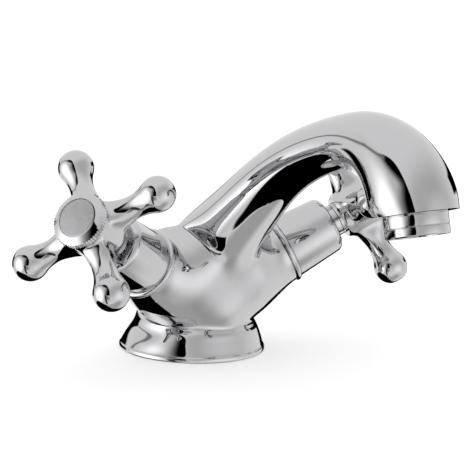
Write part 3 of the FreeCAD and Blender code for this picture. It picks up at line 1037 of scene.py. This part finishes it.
@dataclass(frozen=True)
class Card:
    """A curved studio card round the mixer, seen only in reflections, black where it has no glow.

    Angles are in degrees, and bearings run from the camera towards its left. The four soft margins lie inside
    the first and last bearing and the low and high height. Where the card has a fade, it is round, with its
    edge so far from its core. Where it has a spread, its glow falls to rest between those distances from the
    core. The slope makes its heights rise with the bearing.
    """

    name: str
    bearings: tuple[float, float]
    heights: tuple[float, float]
    margins: tuple[float, float, float, float] = (0, 0, 0, 0)
    distance: float = 1.5
    glow: float = 0.0
    core: tuple[float, float] = (0, 0)
    spread: tuple[float, float] = (0, 0)
    rest: float = 0.0
    edge: float = 0.0
    fade: float = 0.0
    slope: float = 0.0
    highest: ClassVar[float] = 89.0
    rows: ClassVar[int] = 12
    columns: ClassVar[int] = 32

    def build(self) -> None:
        """Make the card and let only reflections show it."""
        first, last = self.bearings
        reserve = abs(self.slope) * (last - first) / 2
        low = max(-self.highest, self.heights[0] - reserve)
        high = min(self.highest, self.heights[1] + reserve)
        mesh = bmesh.new()
        points = []
        for index in range(self.rows + 1):
            toward = heading(CAMERA_BEARING + first, low + (high - low) * index / self.rows)
            points.append(mesh.verts.new(toward * self.distance))
        edges = [mesh.edges.new(pair) for pair in zip(points, points[1:])]
        bmesh.ops.spin(
            mesh, geom=points + edges, cent=(0, 0, 0), axis=UPRIGHT, steps=self.columns,
            angle=-math.radians(last - first))
        bmesh.ops.translate(mesh, verts=mesh.verts, vec=CARDS_MIDDLE)
        card = linked(self.name, mesh)
        card.data.materials.append(self.material())
        card.visible_camera = False
        card.visible_diffuse = False
        card.visible_shadow = False

    def material(self) -> Material:
        """Make the card's glow and its soft outline.

        Returns:
            The material.
        """
        material = bpy.data.materials.new(self.name)
        wiring = Wiring(material)
        wiring.nodes.remove(wiring.nodes["Principled BSDF"])
        bearing, height = self.angles(wiring)
        half = sum(self.bearings) / 2
        core = (math.radians(self.core[0] - half), math.radians(self.core[1]), 0)
        place = wiring.add("CombineXYZ", {"X": bearing, "Y": height}).outputs[0]
        away = wiring.add("VectorMath", {0: place, 1: core}, "DISTANCE").outputs["Value"]
        strength = self.glow
        if self.spread[1]:
            strength = wiring.ramp(away, self.spread, (self.glow, self.rest))
        glow = wiring.add("Emission", {"Color": WHITE, "Strength": strength})
        ends = (
            (bearing, self.bearings[0] - half, self.margins[0]),
            (bearing, self.bearings[1] - half, -self.margins[1]),
            (height, self.heights[0], self.margins[2]), (height, self.heights[1], -self.margins[3]),
            (away, self.edge, -self.fade))
        solid = 1.0
        for angle, end, margin in ends:
            if margin:
                share = wiring.ramp(angle, (end, end + margin), (0.0, 1.0))
                solid = wiring.add("Math", {0: solid, 1: share}, "MULTIPLY").outputs[0]
        clear = wiring.add("BsdfTransparent", {})
        mix = wiring.add("MixShader", {"Fac": solid, 1: clear.outputs[0], 2: glow.outputs[0]})
        wiring.feed(wiring.nodes["Material Output"], {"Surface": mix.outputs[0]})
        return material

    def angles(self, wiring: Wiring) -> tuple[NodeSocket, NodeSocket]:
        """Work out the bearing from the card's middle and the height without the slope, in radians.

        Args:
            wiring: The material's nodes.

        Returns:
            The sockets with the bearing and the height.
        """
        place = wiring.add("TexCoord", {}).outputs["Object"]
        toward = wiring.add("VectorMath", {0: place, 1: CARDS_MIDDLE}, "SUBTRACT").outputs[0]
        unit = wiring.add("VectorMath", {0: toward}, "NORMALIZE").outputs[0]
        turn = math.radians(CAMERA_BEARING + sum(self.bearings) / 2)
        turned = wiring.add("VectorRotate", {"Vector": unit, "Angle": turn})
        turned.rotation_type = "Z_AXIS"
        parts = wiring.add("SeparateXYZ", {0: turned.outputs[0]}).outputs
        bearing = wiring.add("Math", {0: parts["X"], 1: parts["Y"]}, "ARCTAN2").outputs[0]
        height = wiring.add("Math", {0: parts["Z"]}, "ARCSINE").outputs[0]
        level = wiring.add("Math", {0: bearing, 1: -self.slope, 2: height}, "MULTIPLY_ADD").outputs[0]
        return bearing, level


STUDIO_CARDS = (
    Card("soft_box", (20, 128), (-60, 42), (28, 58, 26, 12), 1.48, 2.2, (76, -8), (14, 44), 0.8),
    Card("arch", (6, 100), (-4, 52), (0, 34, 0, 0), core=(51, 7), edge=45, fade=1.5),
    Card("side_line", (98, 122), (11.9, 19.9), (5, 4, 4, 4), 1.465, 0.26, slope=-1.07),
    Card("upper_line", (70, 106), (29, 37), (4, 5, 4, 4), 1.475, 0.26, slope=-0.61),
    Card("dark_line", (22, 40), (-62, -3), (5, 5, 10, 2), 1.47, 0.05),
    Card("dark_strip", (-4, 42), (-46, 2), distance=1.51, glow=0.3, core=(19, -18), edge=23, fade=20),
    Card("low_left", (40, 90), (-89, -45), (2, 0, 0, 3), 1.44, slope=0.65),
    Card("low_cap", (210, 400), (-89, -56), (0, 6, 0, 18), 1.515, 0.56),
    Card("low_back", (90, 210), (-89, -30), (0, 0, 0, 3), 1.44),
    Card("back_card", (120, 165), (-18, 8), (4, 4, 4, 3), 1.46),
    Card("rear_low", (176, 213), (-32, 4), (8, 2, 0, 4), 1.45),
    Card("back_wedge", (190, 238), (0, 14), (6, 3, 2, 3), 1.46, slope=0.35),
    Card("low_front", (240, 352), (-89, -12), distance=1.52, glow=0.5, core=(296, -66), edge=54, fade=46),
    Card("right_box", (256, 356), (-62, 38), distance=1.53, glow=1.28, core=(306, -12), edge=50, fade=44),
    Card("camera_card", (305, 385), (-22, 58), distance=1.54, glow=0.66, core=(345, 18), edge=40, fade=36),
    Card("upper_card", (220, 400), (-30, 82), (0, 0, 0, 44), 1.55, 0.64, (310, 36), edge=90, fade=80))


@dataclass
class Studio:
    """White floor and surroundings, cards and the camera, in metres and degrees, its lens in millimetres."""

    aim: tuple[float, float, float] = (-0.00794, -0.03973, 0.05244)
    elevation: float = 9.92
    roll: float = 2.06
    distance: float = 0.64497
    lens: float = 126.31
    sensor: float = 36.0
    nearest: float = 0.01
    floor_half: float = 4.0
    floor_grey: float = 0.8
    floor_roughness: float = 0.9
    floor_lift: float = 0.35

    def camera(self) -> None:
        """Put the camera at the photograph's viewing angle."""
        roll = math.radians(self.roll)
        back = heading(CAMERA_BEARING, self.elevation)
        right = heading(CAMERA_BEARING - 90, 0)
        over = back.cross(right)
        across = right * math.cos(roll) + over * math.sin(roll)
        upright = over * math.cos(roll) - right * math.sin(roll)
        data = bpy.data.cameras.new("camera")
        data.lens = self.lens
        data.sensor_width = self.sensor
        data.clip_start = self.nearest
        camera = bpy.data.objects.new("camera", data)
        camera.matrix_world = axes_matrix(across, upright, back, Vector(self.aim) + back * self.distance)
        bpy.context.scene.collection.objects.link(camera)
        bpy.context.scene.camera = camera

    def floor(self) -> None:
        """Lay the pale floor, white to the camera, with the mixer's shadow on it."""
        mesh = bmesh.new()
        bmesh.ops.create_grid(mesh, x_segments=1, y_segments=1, size=self.floor_half)
        floor = linked("floor", mesh)
        floor.visible_glossy = False
        floor.data.materials.append(self.floor_material())

    def floor_material(self) -> Material:
        """Make the floor's grey, lifted to white where it is seen.

        Returns:
            The material.
        """
        material = bpy.data.materials.new("pale_floor")
        wiring = Wiring(material)
        path = wiring.add("LightPath", {})
        seen = path.outputs["Is Camera Ray"]
        for ray in ("Is Glossy Ray", "Is Transmission Ray"):
            seen = wiring.add("Math", {0: seen, 1: path.outputs[ray]}, "MAXIMUM").outputs[0]
        lift = wiring.add("Math", {0: seen, 1: self.floor_lift}, "MULTIPLY")
        wiring.feed(wiring.nodes["Principled BSDF"], {
            "Base Color": (self.floor_grey, self.floor_grey, self.floor_grey, 1),
            "Roughness": self.floor_roughness, "Specular IOR Level": 0.0, "Emission Color": WHITE,
            "Emission Strength": lift.outputs[0]})
        return material

    def world(self) -> None:
        """Make the white surroundings."""
        world = bpy.data.worlds.new("studio")
        world.use_nodes = True
        bpy.context.scene.world = world
        background = world.node_tree.nodes["Background"]
        background.inputs["Color"].default_value = WHITE
        background.inputs["Strength"].default_value = 1.0

    def build(self) -> None:
        """Make the whole studio."""
        bpy.context.scene.view_settings.view_transform = "Standard"
        self.camera()
        self.floor()
        self.world()
        for card in STUDIO_CARDS:
            card.build()


def dress_inner_nodes(frame: dict) -> None:
    """Give every CAD node the finish of its material slot, so that each one that still shows is dressed.
    """
    for part in frame["record"]["subparts"]:
        node = frame["nodes"][part["node"]]
        FINISH_OF_SLOT[part["material_slot"]].dress(node)
        LOG.info("%s dressed as %s", part["node"], part["material_slot"])


def main() -> None:
    """Load the frame, build the pieces in order and set the studio."""
    logging.basicConfig(level=logging.INFO, format="%(name)s: %(message)s")
    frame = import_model()
    Studio().build()
    dress_inner_nodes(frame)
    valves = Valves()
    casting = Casting(valves)
    fitted(casting.build(), "body_casting", "body", "chrome")
    Aerator(casting).build()
    trim = ValveTrim(valves)
    handle = CrossHandle(valves)
    for side in Side:
        trim.build(side)
        handle.build(side)


if __name__ == "__main__":
    main()
